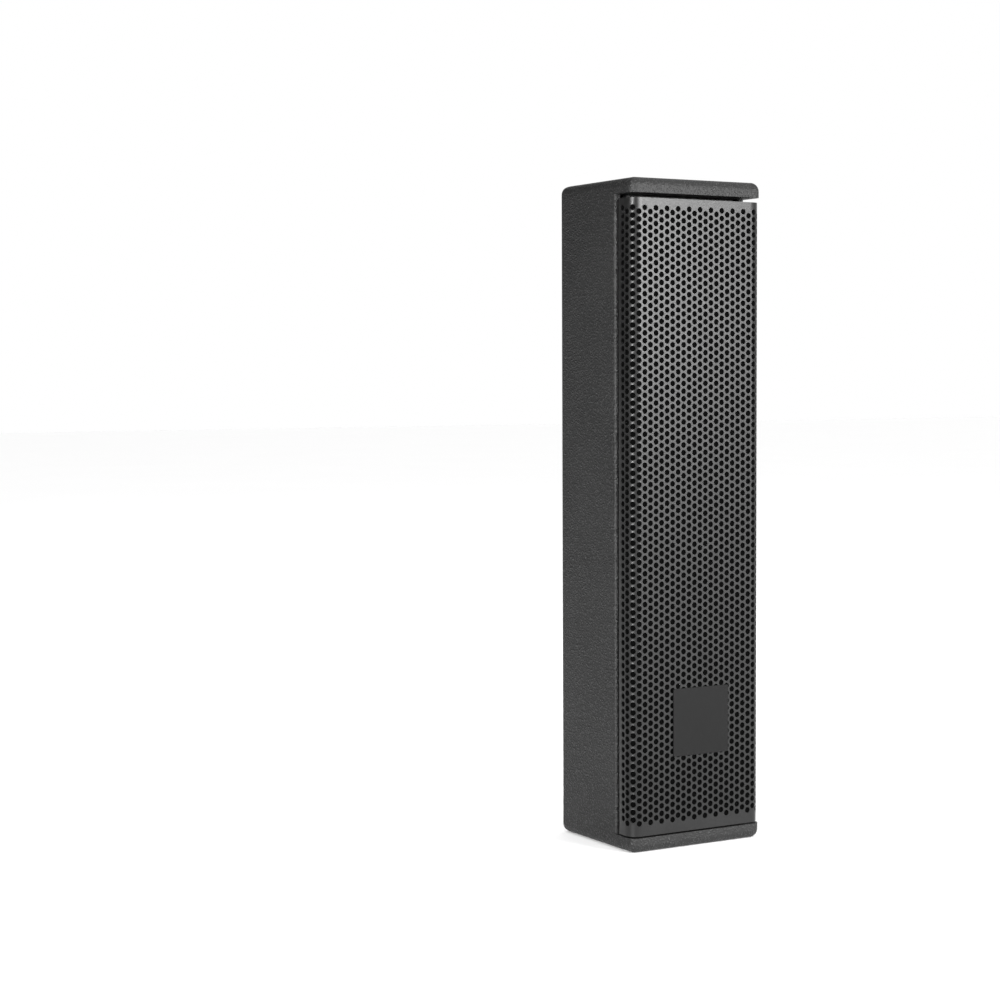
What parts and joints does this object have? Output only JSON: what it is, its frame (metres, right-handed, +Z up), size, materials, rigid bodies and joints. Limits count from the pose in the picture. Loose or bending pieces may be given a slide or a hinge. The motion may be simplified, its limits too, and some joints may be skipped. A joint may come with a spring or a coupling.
{
  "type": "column loudspeaker",
  "caption": "Slim upright PA column speaker: wooden cabinet, row of small drivers, removable perforated steel grille.",
  "frame": {"origin": "middle of the footprint, on the floor under the bottom panel", "axes": "+Z up along the column, -Y out of the grille, +X to the right seen from the front"},
  "size_m": [0.124, 0.103, 0.524],
  "materials": {
    "textured_paint": "plywood under coarse pebbled black paint",
    "grille_coat": "satin black powder coat on perforated sheet",
    "acoustic_cloth": "thin black open cloth",
    "badge_coat": "smooth satin dark grey",
    "frame_plastic": "satin moulded black",
    "frame_steel": "satin dark grey paint on pressed steel",
    "surround_rubber": "semi-gloss rubber",
    "cone_paper": "fine pressed paper, dark grey",
    "cap_paper": "fine pressed paper, dark grey",
    "cap_metal": "polished metal",
    "voice_coil_metal": "copper wire on an aluminium former",
    "spider_cloth": "corrugated resin-dipped cloth",
    "motor_steel": "zinc-plated steel and ferrite",
    "plate_steel": "black powder coat",
    "socket_plastic": "moulded black",
    "insert_zinc": "zinc plate",
    "board_laminate": "glass-fibre laminate",
    "coil_copper": "enamelled copper wire",
    "capacitor_film": "glossy wrap",
    "resistor_ceramic": "unglazed ceramic",
    "wadding_fibre": "loose white fibre"
  },
  "bodies": {
    "cabinet": {"top_panel": "textured_paint", "bottom_panel": "textured_paint", "left_side_panel": "textured_paint", "right_side_panel": "textured_paint", "rear_panel": "textured_paint", "baffle": "textured_paint", "driver_frame_1": "frame_plastic", "driver_frame_2": "frame_plastic", "driver_frame_4": "frame_plastic", "driver_frame_5": "frame_plastic", "driver_frame_3": "frame_steel", "surround_1": "surround_rubber", "surround_2": "surround_rubber", "surround_3": "surround_rubber", "surround_4": "surround_rubber", "surround_5": "surround_rubber", "spider_1": "spider_cloth", "spider_2": "spider_cloth", "spider_3": "spider_cloth", "spider_4": "spider_cloth", "spider_5": "spider_cloth", "motor_1": "motor_steel", "motor_2": "motor_steel", "motor_3": "motor_steel", "motor_4": "motor_steel", "motor_5": "motor_steel", "input_plate": "plate_steel", "speaker_socket_left": "socket_plastic", "speaker_socket_right": "socket_plastic", "wall_insert_upper": "insert_zinc", "wall_insert_lower": "insert_zinc", "crossover_board": "board_laminate", "crossover_coil": "coil_copper", "crossover_capacitor": "capacitor_film", "crossover_resistor": "resistor_ceramic", "wadding": "wadding_fibre"},
    "grille_assembly": {"grille": "grille_coat", "grille_cloth": "acoustic_cloth", "badge_plate": "badge_coat"},
    "moving_cone_1": {"cone_1": "cone_paper", "dust_cap_1": "cap_paper", "voice_coil_1": "voice_coil_metal"},
    "moving_cone_2": {"cone_2": "cone_paper", "dust_cap_2": "cap_paper", "voice_coil_2": "voice_coil_metal"},
    "moving_cone_3": {"cone_3": "cone_paper", "dust_cap_3": "cap_metal", "voice_coil_3": "voice_coil_metal"},
    "moving_cone_4": {"cone_4": "cone_paper", "dust_cap_4": "cap_paper", "voice_coil_4": "voice_coil_metal"},
    "moving_cone_5": {"cone_5": "cone_paper", "dust_cap_5": "cap_paper", "voice_coil_5": "voice_coil_metal"}
  },
  "joints": [
    {"name": "grille_slide", "type": "slide", "parent": "cabinet", "child": "grille_assembly", "axis": [0, -1, 0], "range_m": [0, 0.2]},
    {"name": "cone_travel_1", "type": "slide", "parent": "cabinet", "child": "moving_cone_1", "axis": [0, -1, 0], "range_m": [-0.002, 0.002], "stiffness_N_per_m": 800, "deforming": ["surround_1", "spider_1"]},
    {"name": "cone_travel_2", "type": "slide", "parent": "cabinet", "child": "moving_cone_2", "axis": [0, -1, 0], "range_m": [-0.002, 0.002], "stiffness_N_per_m": 800, "deforming": ["surround_2", "spider_2"]},
    {"name": "cone_travel_3", "type": "slide", "parent": "cabinet", "child": "moving_cone_3", "axis": [0, -1, 0], "range_m": [-0.001, 0.001], "stiffness_N_per_m": 800, "deforming": ["surround_3", "spider_3"]},
    {"name": "cone_travel_4", "type": "slide", "parent": "cabinet", "child": "moving_cone_4", "axis": [0, -1, 0], "range_m": [-0.002, 0.002], "stiffness_N_per_m": 800, "deforming": ["surround_4", "spider_4"]},
    {"name": "cone_travel_5", "type": "slide", "parent": "cabinet", "child": "moving_cone_5", "axis": [0, -1, 0], "range_m": [-0.002, 0.002], "stiffness_N_per_m": 800, "deforming": ["surround_5", "spider_5"]}
  ]
}
